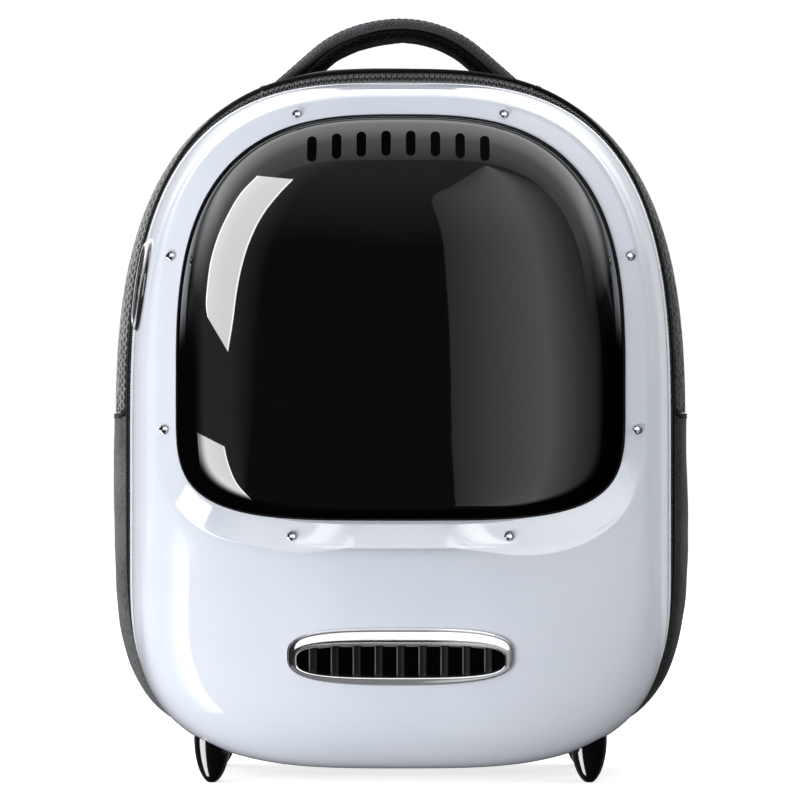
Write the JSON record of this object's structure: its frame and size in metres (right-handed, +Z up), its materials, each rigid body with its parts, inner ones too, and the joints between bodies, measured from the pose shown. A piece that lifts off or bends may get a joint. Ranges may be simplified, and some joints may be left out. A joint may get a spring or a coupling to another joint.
{
  "type": "pet carrier backpack",
  "caption": "Hard-front pet carrier backpack with a smoked bubble window, zipped fabric body with net windows, top handle, shoulder straps and feet.",
  "frame": {"origin": "on the floor under the middle of the bag's box, straps included", "axes": "+Z up, the bubble window faces -Y, the wearer's back goes against the +Y side, +X is the wearer's right"},
  "size_m": [0.332, 0.3408, 0.4357],
  "materials": {
    "shell": "moulded, glossy pale blue-white",
    "smoked_window": "polished smoked clear plastic",
    "seal": "matt black",
    "chrome": "bright plated",
    "black_plastic": "glossy black",
    "fabric": "heathered dark grey woven cloth",
    "net": "open knitted net",
    "webbing": "woven dark grey tape",
    "zip_coil": "black coil",
    "piping": "black cord edging"
  },
  "bodies": {
    "root": {"front_shell": "shell", "window_dome": "smoked_window", "window_gasket": "seal", "vent_bezel": "chrome", "vent_louvre": "black_plastic", "side_vent_bezel": "chrome", "side_vent_louvre": "black_plastic", "zip_tape": "webbing", "zip_coil": "zip_coil", "zip_slider": "chrome", "fabric_body": "fabric", "net_left": "net", "net_right": "net", "back_panel": "fabric", "front_piping": "piping", "back_piping": "piping", "handle_band": "webbing", "handle_pad": "net", "foot_front_left": "black_plastic", "foot_front_right": "black_plastic", "foot_back_left": "black_plastic", "foot_back_right": "black_plastic", "strap_pad_right": "fabric", "strap_pad_left": "fabric", "strap_adjuster_right": "black_plastic", "strap_adjuster_left": "black_plastic", "strap_webbing_right": "webbing", "strap_webbing_left": "webbing", "rivet_top_left": "chrome", "rivet_top_right": "chrome", "rivet_upper_left": "chrome", "rivet_upper_right": "chrome", "rivet_lower_left": "chrome", "rivet_lower_right": "chrome", "rivet_bottom_left": "chrome", "rivet_bottom_right": "chrome"}
  },
  "joints": []
}
